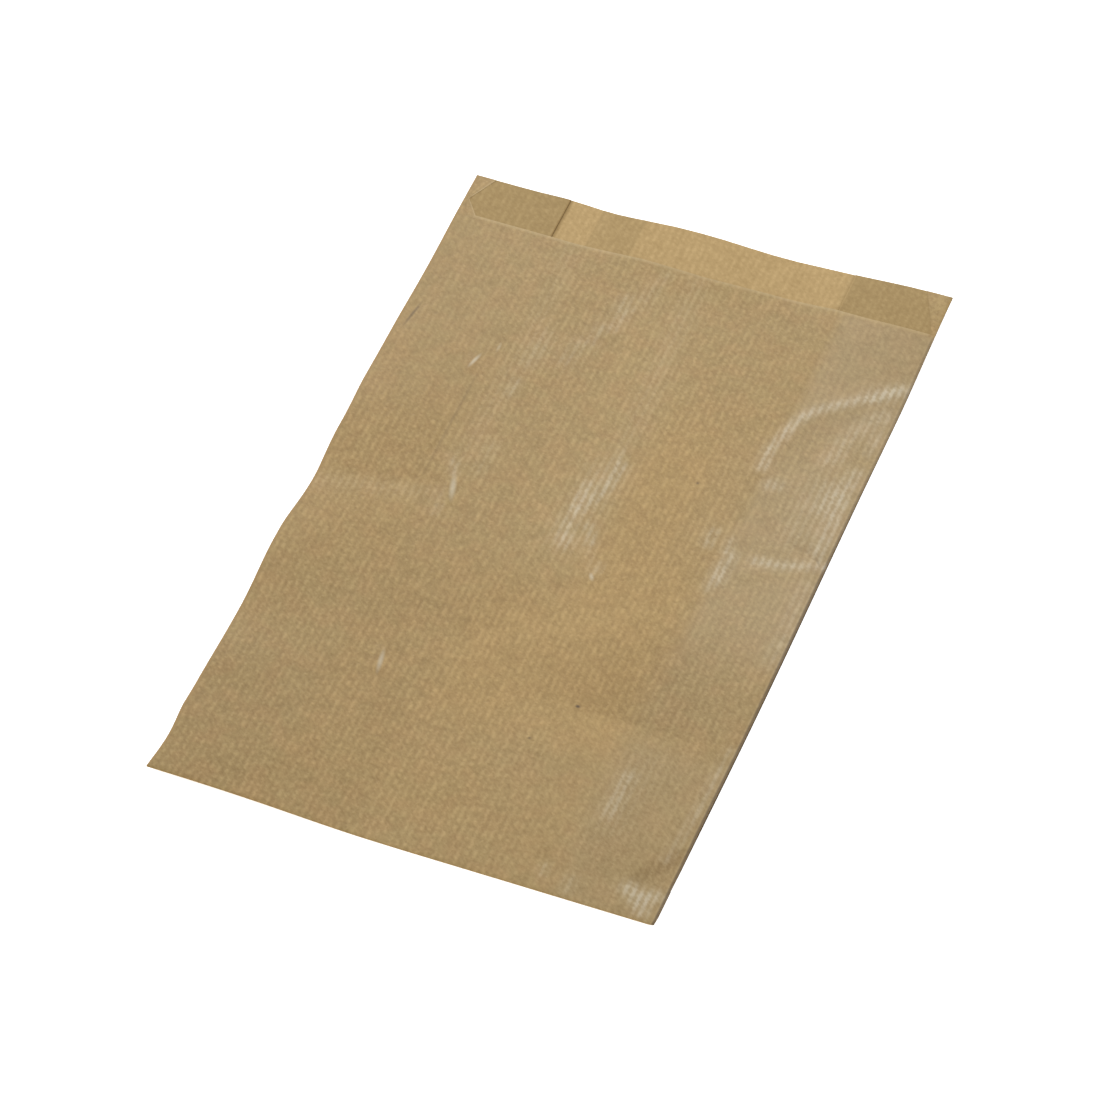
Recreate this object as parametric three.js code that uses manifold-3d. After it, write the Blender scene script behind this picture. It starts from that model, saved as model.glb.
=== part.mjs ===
// Bakery bag, lying empty and flat: one sheet of ribbed kraft paper, folded and glued.
// Millimetres. +X runs across the bag, +Y towards its mouth and +Z up.
// The origin lies under the middle of the bag, on the surface it rests on.

import * as THREE from 'three';
import Module from 'manifold-3d';

const wasm = await Module();
wasm.setup();

// Driving sizes of the folded bag
const bagWidth = 180;
const bagLength = 300;
const gussetDepth = 36; // from a side fold in to the gusset's inner fold
const paperThickness = 0.08; // over the ribs
const layerGap = 0.04; // air between two layers that lie on each other

// Mouth: the front panel is cut back, and small tabs stay at both side folds
const lipDepth = 20;
const leftTabFoot = 7; // width of the left tab at the foot of the cut
const leftTabWaist = 1.7; // width where the cut runs closest to the fold
const leftTabWaistRise = 7.5; // how far above the foot that is
const leftTabTop = 7.5; // width at the mouth's edge
const rightTabFoot = 1.4;
const rightTabTop = 9.4;

// Bottom: the end of the tube is turned under, and the flap beyond it is glued to the back
const turnDepth = 15;
const bottomFoldRadius = 0.1;
const glueStart = 9; // distance from the turned strip to the glue
const glueMargin = 3; // free edge of the flap beyond the glue

// Lengthwise seam of the back panel
const seamOffset = 13; // from the left gusset's inner fold
const seamWidth = 16;
const seamStep = 1.5; // width in which the upper sheet comes down beside the seam

// How far the front panel comes down beside a gusset, and in which width
const frontSag = 0.1;
const settleWidth = 9;

// How the paper lies: lifted corners, waves and air between the panels
const farCornerLift = 4;
const farCornerReach = 60;
const nearCornerLift = 1.2;
const nearCornerReach = 30;
const mouthWaveLift = 1;
const mouthWaveReach = 40;
const mouthWaveX = -8;
const leftWaveLift = 0.9;
const leftWaveLength = 66;
const leftWaveCrest = 112; // distance of a crest from the bottom fold
const leftWaveEnd = 240;
const edgeZone = 42; // how far in from a side fold the waves reach
const airAtRightFold = 0.9;
const airAtLeftFold = 0.5;
const airInside = 0.3;
const airRise = 60; // distance from the bottom fold in which the air builds up
const spanLength = 70; // how far the front panel spans the step behind the turned strip
const rightBulge = 0.9;
const leftDents = [
  { y: 142, depth: 1.6, reach: 26 },
  { y: 76, depth: 1.2, reach: 34 },
  { y: 12, depth: 0.6, reach: 12 },
];

// How finely the folded sheet is divided
const stationStep = 12;
const foldSteps = 3;
const bendSteps = 5;
const middleSteps = 4;

const halfWidth = bagWidth / 2;
const foldLine = halfWidth - gussetDepth;
const layerPitch = paperThickness + layerGap;
const back = 0;
const lowerGusset = 1;
const upperGusset = 2;
const front = 3;
// Share of the air that lies below each layer: most of it opens the gussets
const airBelow = { [back]: 0, [lowerGusset]: 0.1, [upperGusset]: 0.9, [front]: 1 };

const clamp01 = (value) => Math.min(1, Math.max(0, value));
const mix = (a, b, share) => a + (b - a) * share;

function ease(from, to, value) {
  const share = clamp01((value - from) / (to - from));
  return share * share * (3 - 2 * share);
}

// 1 at the centre, falling smoothly to exactly 0 at the reach
function swell(distance, reach) {
  const share = clamp01(Math.abs(distance) / reach);
  return (1 - share * share) ** 2;
}

// Height of a layer's middle above the back panel's underside, with the bag pressed flat
function pressedHeight(layer, x) {
  const overGusset = layer * layerPitch + paperThickness / 2;
  if (layer !== front) return overGusset;
  return overGusset - frontSag * (1 - ease(foldLine - settleWidth, foldLine, Math.abs(x)));
}

const stackHeight = (x) => pressedHeight(front, x) + paperThickness / 2;
const bendReach = bottomFoldRadius + stackHeight(halfWidth);
const turnEnd = bendReach + turnDepth;
const flapTip = turnEnd + lipDepth; // the paper lies flat up to here, where the flap ends

// Height of the back panel's underside over what is turned under it
function rideHeight(x, y) {
  const overTurn = 2 * bottomFoldRadius + stackHeight(x);
  const overFlap = layerPitch;
  const offTurn = ease(turnEnd, turnEnd + glueStart, y);
  const offFlap = ease(flapTip, flapTip + 10, y);
  return mix(mix(overTurn, overFlap, offTurn), 0, offFlap);
}

// Air between the panels, most along the right fold and over the step behind the turned strip
function airHeight(x, y) {
  const nearRight = ease(halfWidth - edgeZone, halfWidth, x);
  const nearLeft = ease(halfWidth - edgeZone, halfWidth, -x);
  const towardsMouth = mix(1, 0.2, ease(bagLength * 0.45, bagLength - lipDepth, y));
  const air = airInside + nearRight * airAtRightFold + nearLeft * airAtLeftFold;
  const step = rideHeight(x, turnEnd) - rideHeight(x, y);
  const spanned = step * (1 - ease(turnEnd, turnEnd + spanLength, y));
  return air * towardsMouth * ease(bendReach, airRise, y) + spanned;
}

const layerHeight = (layer, x, y) => pressedHeight(layer, x) + airHeight(x, y) * airBelow[layer];

// Height that the whole bag is lifted off the surface at a place
function lift(x, y) {
  const farCorner = farCornerLift * swell(Math.hypot(x - halfWidth, y - bagLength), farCornerReach);
  const nearCorner = nearCornerLift * swell(Math.hypot(x + halfWidth, y), nearCornerReach);
  const alongMouth = swell(x - mouthWaveX, mouthWaveReach) * ease(bagLength - 40, bagLength, y);
  const wave = (1 + Math.cos(2 * Math.PI * (y - leftWaveCrest) / leftWaveLength)) / 2;
  const waveEnds = ease(flapTip, flapTip + leftWaveLength / 2, y)
    * (1 - ease(leftWaveEnd - 60, leftWaveEnd, y));
  const leftWaves = leftWaveLift * wave * waveEnds * ease(halfWidth - edgeZone, halfWidth, -x);
  return farCorner + nearCorner + mouthWaveLift * alongMouth + leftWaves;
}

// Sideways shift of the paper where its folds are drawn in or bulge out
function shift(x, y) {
  const nearLeft = ease(halfWidth - edgeZone, halfWidth, -x);
  const nearRight = ease(halfWidth - edgeZone, halfWidth, x);
  const drawnIn = leftDents.reduce((sum, dent) => sum + dent.depth * swell(y - dent.y, dent.reach), 0);
  return nearLeft * drawnIn + nearRight * rightBulge * swell(y - bagLength * 0.4, bagLength * 0.4);
}

// A station is a line across the sheet: on the upper run, in the bottom bend or turned under
const upper = (y) => ({ run: 'upper', y, rise: y - (bagLength - lipDepth) });
const bend = (angle) => ({ run: 'bend', angle, y: bendReach, rise: 0 });
const under = (y) => ({ run: 'under', y, rise: y - turnEnd });

// Puts a point of the sheet in place: x across, height within the stack of layers
function place(station, x, height) {
  let y = station.y;
  let z = 0;
  if (station.run === 'upper') {
    z = rideHeight(x, y) + height;
  } else if (station.run === 'bend') {
    const radius = bottomFoldRadius + height;
    y = bendReach - radius * Math.sin(station.angle);
    z = stackHeight(x) + bottomFoldRadius + radius * Math.cos(station.angle);
  } else {
    z = stackHeight(x) - height;
  }
  return new THREE.Vector3(x + shift(x, y), y, z + lift(x, y));
}

// Height of a layer's middle at a station: only the upper run holds air
const middleHeight = (station, layer, x) =>
  (station.run === 'upper' ? layerHeight(layer, x, station.y) : pressedHeight(layer, x));

// A column is a line along the sheet. It gives the two faces of the paper at a station.
function flatColumn(layer, xAt, lowShare = 0, highShare = 1) {
  const facesUp = layer === front || layer === lowerGusset;
  return (station) => {
    const x = xAt(station);
    const middle = middleHeight(station, layer, x);
    const low = place(station, x, middle + paperThickness * (lowShare - 0.5));
    const high = place(station, x, middle + paperThickness * (highShare - 0.5));
    return facesUp ? { outside: high, inside: low } : { outside: low, inside: high };
  };
}

// Points of a fold that joins two layers at a line, bulging towards side
function foldColumns(lowLayer, highLayer, foldX, side, outsideOfFold, upwards) {
  const columns = [];
  for (let step = 0; step <= foldSteps; step += 1) {
    const turn = upwards ? step / foldSteps : 1 - step / foldSteps;
    const angle = mix(-Math.PI / 2, Math.PI / 2, turn);
    columns.push((station) => {
      const low = middleHeight(station, lowLayer, foldX);
      const high = middleHeight(station, highLayer, foldX);
      const radius = (high - low) / 2;
      const centreX = foldX - side * radius;
      const point = (offset) => place(
        station,
        centreX + side * (radius + offset) * Math.cos(angle),
        (low + high) / 2 + (radius + offset) * Math.sin(angle),
      );
      const outer = point(paperThickness / 2);
      const inner = point(-paperThickness / 2);
      return outsideOfFold ? { outside: outer, inside: inner } : { outside: inner, inside: outer };
    });
  }
  return columns;
}

// Width that the cut leaves beside each side fold, by the distance above its foot
function leftTabWidth(rise) {
  if (rise <= 0) return leftTabFoot;
  if (rise < leftTabWaistRise) return mix(leftTabFoot, leftTabWaist, rise / leftTabWaistRise);
  const above = (rise - leftTabWaistRise) / (lipDepth - leftTabWaistRise);
  return mix(leftTabWaist, leftTabTop, clamp01(above));
}

const rightTabWidth = (rise) => mix(rightTabFoot, rightTabTop, clamp01(rise / lipDepth));
const leftCutX = (station) => -halfWidth + leftTabWidth(station.rise);
const rightCutX = (station) => halfWidth - rightTabWidth(station.rise);

// Distances of the shared column lines from a side fold, over a gusset
const gussetLines = [0, 1 / 3, 2 / 3].map((share) => mix(leftTabFoot, gussetDepth, share));
const seamLeft = -foldLine + seamOffset;
const seamRight = seamLeft + seamWidth;
const plainStart = seamRight + seamStep;
const plainEnd = foldLine - settleWidth;

function plainLines() {
  const lines = [];
  for (let step = 1; step <= middleSteps; step += 1) {
    lines.push(mix(plainStart, plainEnd, step / middleSteps));
  }
  return lines;
}

// Columns of the sheet from the left end of the front cut, round the back, to its right end
function tubeColumns() {
  const fixed = (layer, lines) => lines.map((x) => flatColumn(layer, () => x));
  const leftLines = gussetLines.map((inset) => -halfWidth + inset);
  const rightLines = gussetLines.map((inset) => halfWidth - inset);
  const outward = (lines) => lines.slice().reverse();
  const seam = [
    flatColumn(back, () => -foldLine),
    flatColumn(back, () => -foldLine + settleWidth),
    flatColumn(back, () => seamLeft - paperThickness),
    flatColumn(back, () => seamLeft, 0, 2),
    flatColumn(back, () => seamRight, 0, 2),
    flatColumn(back, () => seamRight + paperThickness, 1, 2),
    flatColumn(back, () => plainStart),
  ];
  return [
    flatColumn(front, leftCutX),
    ...foldColumns(upperGusset, front, -halfWidth, -1, true, false),
    ...fixed(upperGusset, leftLines),
    ...foldColumns(lowerGusset, upperGusset, -foldLine, 1, false, false),
    ...fixed(lowerGusset, outward(leftLines)),
    ...foldColumns(back, lowerGusset, -halfWidth, -1, true, false),
    ...fixed(back, leftLines),
    ...seam,
    ...fixed(back, plainLines()),
    flatColumn(back, () => foldLine),
    ...fixed(back, outward(rightLines)),
    ...foldColumns(back, lowerGusset, halfWidth, 1, true, true),
    ...fixed(lowerGusset, rightLines),
    ...foldColumns(lowerGusset, upperGusset, foldLine, -1, false, true),
    ...fixed(upperGusset, outward(rightLines)),
    ...foldColumns(upperGusset, front, halfWidth, 1, true, true),
    flatColumn(front, rightCutX),
  ];
}

// Columns of the front panel between the two ends of the cut, from right to left
function frontColumns() {
  const foot = { rise: 0 };
  const lines = [
    ...gussetLines.map((inset) => halfWidth - inset),
    foldLine,
    ...plainLines().reverse(),
    plainStart,
    seamLeft,
    -foldLine + settleWidth,
    -foldLine,
    ...gussetLines.slice(1).reverse().map((inset) => -halfWidth + inset),
  ];
  return lines.map((line) => {
    const share = (line - leftCutX(foot)) / (rightCutX(foot) - leftCutX(foot));
    return flatColumn(front, (station) => mix(leftCutX(station), rightCutX(station), share));
  });
}

function evenly(from, to, step) {
  const count = Math.max(1, Math.round((to - from) / step));
  return Array.from({ length: count }, (_, index) => mix(from, to, (index + 1) / count));
}

// Glue between the flap and the back panel, as distances from the end of the turned strip
const glueEnd = lipDepth - glueMargin;
const glueLines = [glueStart, (glueStart + glueEnd) / 2, glueEnd];

// Stations from the tip of the flap, round the bottom bend and up to the mouth
function sheetStations() {
  const flapRises = [lipDepth, (lipDepth + leftTabWaistRise) / 2, leftTabWaistRise];
  const flap = flapRises.map((rise) => under(turnEnd + rise));
  const turned = [under(turnEnd), under(bendReach + turnDepth / 2)];
  const round = Array.from(
    { length: bendSteps + 1 },
    (_, index) => bend(Math.PI * (1 - index / bendSteps)),
  );
  const cutFoot = bagLength - lipDepth;
  const rampLines = [-turnDepth / 2, 0, glueStart / 3, glueStart * 2 / 3, ...glueLines, lipDepth];
  const ramp = rampLines.map((y) => upper(turnEnd + y));
  const body = evenly(flapTip, cutFoot, stationStep).map(upper);
  const lip = [leftTabWaistRise, (lipDepth + leftTabWaistRise) / 2, lipDepth];
  return {
    stations: [
      ...flap, ...turned, ...round, ...ramp, ...body,
      ...lip.map((rise) => upper(cutFoot + rise)),
    ],
    tubeStart: flap.length,
    cutFootIndex: flap.length + turned.length + round.length + ramp.length + body.length - 1,
  };
}

// Skins a set of columns: both faces, and the cut edges where the sheet ends
class SheetMesh {
  constructor() {
    this.positions = [];
    this.triangles = [];
  }

  addPoint(point) {
    this.positions.push(point.x, point.y, point.z);
    return this.positions.length / 3 - 1;
  }

  addColumn(column, stations, first, last) {
    const ids = [];
    for (let index = first; index <= last; index += 1) {
      const faces = column(stations[index]);
      ids[index] = { outside: this.addPoint(faces.outside), inside: this.addPoint(faces.inside) };
    }
    return ids;
  }

  addQuad(a, b, c, d) {
    this.triangles.push(a, c, b, a, d, c);
  }

  // Paper between two neighbouring columns, for the stations that both have
  addStrip(left, right, first, last) {
    for (let index = first; index < last; index += 1) {
      const next = index + 1;
      this.addQuad(left[index].outside, right[index].outside, right[next].outside, left[next].outside);
      this.addQuad(left[index].inside, left[next].inside, right[next].inside, right[index].inside);
    }
    this.addEdge(right[first], left[first]);
    this.addEdge(left[last], right[last]);
  }

  // Cut edge of the paper between two points of the outline
  addEdge(from, to) {
    this.addQuad(from.outside, to.outside, to.inside, from.inside);
  }
}

function foldedSheet() {
  const { stations, tubeStart, cutFootIndex } = sheetStations();
  const lastStation = stations.length - 1;
  const mesh = new SheetMesh();
  const leftEdge = flatColumn(front, leftCutX);
  const rightEdge = flatColumn(front, rightCutX);
  const tube = tubeColumns();
  const tubeIds = tube.map((column) => mesh.addColumn(column, stations, tubeStart, lastStation));
  const firstTube = tubeIds[0];
  const lastTube = tubeIds[tubeIds.length - 1];

  // The columns at both ends of the cut also bound the flap
  const flapEnd = tubeStart - 1;
  [[leftEdge, firstTube], [rightEdge, lastTube]].forEach(([column, ids]) => {
    Object.assign(ids, { ...mesh.addColumn(column, stations, 0, flapEnd) });
  });

  for (let index = 1; index < tubeIds.length; index += 1) {
    mesh.addStrip(tubeIds[index - 1], tubeIds[index], tubeStart, lastStation);
  }
  const middle = frontColumns().map((column) => mesh.addColumn(column, stations, 0, cutFootIndex));
  const frontIds = [lastTube, ...middle, firstTube];
  for (let index = 1; index < frontIds.length; index += 1) {
    mesh.addStrip(frontIds[index - 1], frontIds[index], 0, cutFootIndex);
  }

  // Cut edges along the length: beside the mouth's tabs and beside the flap
  for (let index = cutFootIndex; index < lastStation; index += 1) {
    mesh.addEdge(firstTube[index], firstTube[index + 1]);
    mesh.addEdge(lastTube[index + 1], lastTube[index]);
  }
  for (let index = 0; index < tubeStart; index += 1) {
    mesh.addEdge(firstTube[index + 1], firstTube[index]);
    mesh.addEdge(lastTube[index], lastTube[index + 1]);
  }
  return mesh;
}

// Thin line of glue between the flap and the back panel, reaching a little into both
function glueLayer() {
  const bite = paperThickness / 2;
  const rows = glueLines.map((rise) => turnEnd + rise);
  const columns = [
    halfWidth - rightTabTop - glueMargin,
    foldLine,
    ...plainLines().reverse(),
    plainStart,
    seamLeft,
    -foldLine,
    -halfWidth + gussetLines[1],
    -halfWidth + gussetLines[0] + glueMargin,
  ];
  const mesh = new SheetMesh();
  const ids = columns.map((x) => rows.map((y) => {
    const point = (z) => new THREE.Vector3(x + shift(x, y), y, z + lift(x, y));
    return {
      outside: mesh.addPoint(point(layerPitch + bite)),
      inside: mesh.addPoint(point(paperThickness - bite)),
    };
  }));
  for (let index = 1; index < ids.length; index += 1) {
    mesh.addStrip(ids[index - 1], ids[index], 0, rows.length - 1);
  }
  for (let row = 1; row < rows.length; row += 1) {
    mesh.addEdge(ids[0][row - 1], ids[0][row]);
    mesh.addEdge(ids[ids.length - 1][row], ids[ids.length - 1][row - 1]);
  }
  return mesh;
}

function solidOf(mesh) {
  return new wasm.Manifold(new wasm.Mesh({
    numProp: 3,
    vertProperties: new Float32Array(mesh.positions),
    triVerts: new Uint32Array(mesh.triangles),
  }));
}

function geometryOf(solid) {
  const mesh = solid.getMesh();
  const geometry = new THREE.BufferGeometry();
  geometry.setAttribute('position', new THREE.BufferAttribute(mesh.vertProperties, 3));
  geometry.setIndex(new THREE.BufferAttribute(mesh.triVerts, 1));
  geometry.computeBoundingBox();
  const { min, max } = geometry.boundingBox;
  geometry.translate(-(min.x + max.x) / 2, -(min.y + max.y) / 2, -min.z);
  geometry.computeVertexNormals();
  return geometry;
}

const kraft = new THREE.MeshStandardMaterial({ color: 0xaf9870, roughness: 0.55, metalness: 0 });
const bag = new THREE.Mesh(geometryOf(solidOf(foldedSheet()).add(solidOf(glueLayer()))), kraft);
bag.name = 'paper_bag';

const model = new THREE.Group();
model.add(bag);

export default model;
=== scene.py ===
import bpy
import math
import numpy as np
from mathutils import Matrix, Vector


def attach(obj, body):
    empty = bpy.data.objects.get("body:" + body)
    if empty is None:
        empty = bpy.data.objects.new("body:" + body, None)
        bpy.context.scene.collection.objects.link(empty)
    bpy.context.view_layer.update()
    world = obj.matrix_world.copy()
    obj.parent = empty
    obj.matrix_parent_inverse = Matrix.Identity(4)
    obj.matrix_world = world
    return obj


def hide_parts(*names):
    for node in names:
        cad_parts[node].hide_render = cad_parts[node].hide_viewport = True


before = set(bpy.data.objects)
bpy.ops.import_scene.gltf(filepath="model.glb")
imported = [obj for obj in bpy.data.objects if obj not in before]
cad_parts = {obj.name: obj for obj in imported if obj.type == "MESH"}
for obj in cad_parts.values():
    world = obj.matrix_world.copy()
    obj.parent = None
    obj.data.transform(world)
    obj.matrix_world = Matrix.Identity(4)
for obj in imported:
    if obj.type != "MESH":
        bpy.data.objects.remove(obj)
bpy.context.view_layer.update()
print("packed bag loaded")

mm = 0.001

# The folded sheet, in millimetres: x across, y from the bottom fold to the mouth
sheet = {
    "width": 180.0,
    "length": 300.0,
    "gusset": 36.0,
    "paper": 0.06,
    "gap": 0.015,
    "lip": 20.0,
    "leftTab": [(0.0, 7.0), (7.5, 1.7), (20.0, 7.5)],  # distance above the cut's foot, width
    "rightTab": [(0.0, 1.4), (20.0, 9.4)],
    "turn": 15.0,
    "bottomFoldRadius": 0.1,
    "flapRamp": 9.0,
    "flapTipRamp": 10.0,
    "seamOffset": 13.0,
    "seamWidth": 16.0,
    "seamStep": 1.5,
    "frontSag": 0.07,
    "settle": 9.0,
}

# How the paper lies: lifted corners, waves along the left fold and air inside
lie = {
    "farCornerLift": 4.0,
    "farCornerReach": 60.0,
    "nearCornerLift": 2.3,
    "nearCornerReach": 78.0,
    "mouthWaveLift": 2.0,
    "mouthWaveReach": 40.0,
    "mouthWaveX": -3.0,
    "mouthWaveDepth": 40.0,
    "leftWaveLift": 0.7,
    "leftWaveLength": 66.0,
    "leftWaveCrest": 112.0,
    "leftWaveEnd": 240.0,
    "leftWaveFade": 60.0,
    "edgeZone": 42.0,
    "airAtRightFold": 0.9,
    "airAtLeftFold": 0.5,
    "airInside": 0.3,
    "airAtMouth": 0.2,  # share of the air that is left there
    "airFadeFrom": 0.45,  # share of the length
    "airRise": 60.0,
    "span": 70.0,
    "airBelow": [0.0, 0.1, 0.9, 1.0],  # share of the air below each layer
    "rightOut": 0.45,
    "rightBulge": 0.65,
    "rightBulgeY": 100.0,
    "rightBulgeReach": 110.0,
    "leftDents": [(14.0, 1.4, 17.0), (42.0, 1.0, 34.0), (76.0, 1.1, 34.0), (142.0, 1.6, 26.0),
                  (172.0, 0.7, 22.0), (250.0, 0.3, 30.0)],
    "mouthDents": [(-52.0, -0.6, 18.0), (-36.0, 0.4, 24.0), (40.0, -1.0, 24.0), (66.0, -0.3, 20.0)],
    "nearLeftRise": 0.9,
    "nearLeftRiseX": (-60.0, 5.0),
    "nearLeftRiseY": (10.0, 80.0),
    "nearRightBlunt": 0.3,
    "nearRightReach": 2.0,
    "creaseFadeNear": 3.0,
    "creaseFadeMouth": 8.0,
    "cutRiseFrom": 225.0,
    "cutRise": [(-84, 0.7), (-56, 0.7), (-44, 0.6), (-20, 1.5), (4, 0.7), (28, 2.0), (52, 2.5), (66, 1.4),
                (90, 0.8)],
}

# How finely the sheet is divided: steps along and across it, and the places of columns beside folds
fineness = {
    "station": 1.5,
    "turnedStation": 4.0,
    "lipStation": 2.0,
    "lastStation": 0.4,
    "frontColumn": 1.25,
    "otherColumn": 9.0,
    "gussetInsets": (3.0, 7.0, 3.0, 0.7),  # two from the outer fold, two from the inner one
    "besideLeftFold": (-0.3, 0.5, 1.6, 7.0),
    "besideRightFold": (3.0, 1.0, 0.3),
    "besideSeam": 0.6,
    "seamInset": 5.0,
    "foldSteps": 4,
    "bendSteps": 8,
    "sharpAngle": 50.0,
}

# Marks that the columns carry: how strong they are in the bottom bend and where they start or fade
marking = {
    # how strong the painted fold shade is in the bottom bend
    "bend": 0.3,
    "bendAngles": (0.1, 1.0),
    # where along a fold its painted shadow turns from the low to the high value
    "slotShares": (0.3, 0.8),
    # the painted shadow and painted highlight along the right fold thin out between these lengths
    "rightThins": 0.4,
    "rightThinsY": (140.0, 230.0),
    "cutFade": 3.0,
    "rimReach": 0.9,
}

half = sheet["width"] / 2
foldLine = half - sheet["gusset"]
pitch = sheet["paper"] + sheet["gap"]
back, lowerGusset, upperGusset, front = 0, 1, 2, 3


def ease(start, end, value):
    share = np.clip((value - start) / (end - start), 0, 1)
    return share * share * (3 - 2 * share)


def swell(distance, reach):
    share = np.clip(np.abs(distance) / reach, 0, 1)
    return (1 - share * share) ** 2


def mix(a, b, share):
    return a + (b - a) * share


# Values from start to end, both of them included, about one step apart
def evenly(start, end, step):
    count = max(1, round(abs(end - start) / step))
    return [mix(start, end, index / count) for index in range(count + 1)]


# Heights of the layers when the bag is pressed flat
def pressedHeight(layer, x):
    overGusset = layer * pitch + sheet["paper"] / 2
    if layer != front:
        return overGusset + 0 * x
    return overGusset - sheet["frontSag"] * (1 - ease(foldLine - sheet["settle"], foldLine, np.abs(x)))


def stackHeight(x):
    return pressedHeight(front, x) + sheet["paper"] / 2


bendReach = sheet["bottomFoldRadius"] + stackHeight(half)
turnEnd = bendReach + sheet["turn"]
flapTip = turnEnd + sheet["lip"]
cutFoot = sheet["length"] - sheet["lip"]


# Height of the back panel over what is turned under it
def rideHeight(x, y):
    overTurn = 2 * sheet["bottomFoldRadius"] + stackHeight(x)
    overFlap = mix(overTurn, pitch, ease(turnEnd, turnEnd + sheet["flapRamp"], y))
    return mix(overFlap, 0, ease(flapTip, flapTip + sheet["flapTipRamp"], y))


# Air between the panels, most along the right fold and over the step behind the turned strip
def airHeight(x, y):
    nearRight = ease(half - lie["edgeZone"], half, x)
    nearLeft = ease(half - lie["edgeZone"], half, -x)
    towardsMouth = mix(1, lie["airAtMouth"], ease(sheet["length"] * lie["airFadeFrom"], cutFoot, y))
    air = lie["airInside"] + nearRight * lie["airAtRightFold"] + nearLeft * lie["airAtLeftFold"]
    step = rideHeight(x, turnEnd) - rideHeight(x, y)
    spanned = step * (1 - ease(turnEnd, turnEnd + lie["span"], y))
    return air * towardsMouth * ease(bendReach, lie["airRise"], y) + spanned


def lift(x, y):
    farCorner = lie["farCornerLift"] * swell(np.hypot(x - half, y - sheet["length"]), lie["farCornerReach"])
    nearCorner = lie["nearCornerLift"] * swell(np.hypot(x + half, y), lie["nearCornerReach"])
    alongMouth = swell(x - lie["mouthWaveX"], lie["mouthWaveReach"])
    alongMouth = alongMouth * ease(sheet["length"] - lie["mouthWaveDepth"], sheet["length"], y)
    wave = (1 + np.cos(2 * np.pi * (y - lie["leftWaveCrest"]) / lie["leftWaveLength"])) / 2
    starts = ease(flapTip, flapTip + lie["leftWaveLength"] / 2, y)
    ends = 1 - ease(lie["leftWaveEnd"] - lie["leftWaveFade"], lie["leftWaveEnd"], y)
    leftWaves = lie["leftWaveLift"] * wave * starts * ends * ease(half - lie["edgeZone"], half, -x)
    return farCorner + nearCorner + lie["mouthWaveLift"] * alongMouth + leftWaves


# How far the paper is moved across and along by the bulge, dents and uneven cuts of its edges
def shift(x, y):
    nearLeft = ease(half - lie["edgeZone"], half, -x)
    nearRight = ease(half - lie["edgeZone"], half, x)
    onLip = ease(cutFoot, sheet["length"], y)
    drawnIn = sum(depth * swell(y - at, reach) for at, depth, reach in lie["leftDents"])
    lipDrawnIn = sum(depth * swell(x - at, reach) for at, depth, reach in lie["mouthDents"])
    bulge = lie["rightOut"] + lie["rightBulge"] * swell(y - lie["rightBulgeY"], lie["rightBulgeReach"])
    reach = lie["nearRightReach"]
    blunt = lie["nearRightBlunt"] * ease(half - reach, half, x) * (1 - ease(0, reach, y))
    rise = lie["nearLeftRise"] * (1 - ease(*lie["nearLeftRiseX"], x)) * (1 - ease(*lie["nearLeftRiseY"], y))
    cutX, cutRises = zip(*lie["cutRise"])
    cutRise = np.interp(x, cutX, cutRises) * ease(lie["cutRiseFrom"], cutFoot, y) * (1 - onLip)
    along = rise + blunt + cutRise - lipDrawnIn * onLip
    return nearLeft * drawnIn + nearRight * bulge - blunt, along


# Creases and soft ridges of the front panel: points, half width and height
creases = [
    # the ring round the soft bulge at the right fold
    ([(54.5, 201), (55, 212), (57.5, 223), (61, 231), (69, 239), (77, 245.5), (91.5, 254)], 3.2, 0.22),
    ([(74, 206), (76, 218), (80, 230.5), (87.5, 240)], 4.5, 0.14),
    # creases that run in from the right fold
    ([(90.5, 167.5), (79.5, 170.5), (69, 173.5), (60, 180.5)], 3.0, -0.14),
    ([(90.5, 164.5), (75.5, 160), (65, 154)], 3.0, 0.14),
    # the crease that runs in from the left fold, with a sharp end
    ([(-92.5, 146.5), (-71, 149.5), (-47, 154.5)], 5.0, -0.07),
    ([(-48, 167.5), (-44, 159.5), (-41.5, 151.5)], 2.4, 0.24),
    ([(-43, 147.5), (-45, 141.5)], 2.0, 0.14),
    # soft ridges in the middle
    ([(6.5, 193), (8, 184), (4, 170), (2.5, 157), (3.5, 146)], 3.2, 0.18),
    ([(8, 155), (11, 149), (15, 139), (20, 130.5)], 2.4, 0.12),
    ([(-12, 271), (-17, 256), (-20, 245)], 4.5, 0.1),
    ([(-21, 243), (-28.5, 230), (-39, 209.5)], 4.0, 0.07),
    # short marks over the right gusset's fold
    ([(47, 172), (48, 165)], 2.2, 0.12),
    ([(56, 170), (57.5, 156), (57, 144)], 2.6, 0.16),
    ([(57, 201.5), (61, 196.5)], 2.4, 0.1),
    ([(60.5, 54.5), (59.5, 40.5)], 2.4, 0.12),
    ([(90.5, 33), (75, 13)], 4.5, -0.12),
    # small dents
    ([(-57.5, 216), (-57, 211)], 1.4, 0.16),
    ([(-37.5, 78.5), (-36, 70.5)], 1.5, 0.2),
    ([(-54, 181.5), (-54.5, 167.5)], 1.2, -0.08),
    ([(-85.5, 232.5), (-87, 222.5)], 1.3, -0.16),
]
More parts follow.
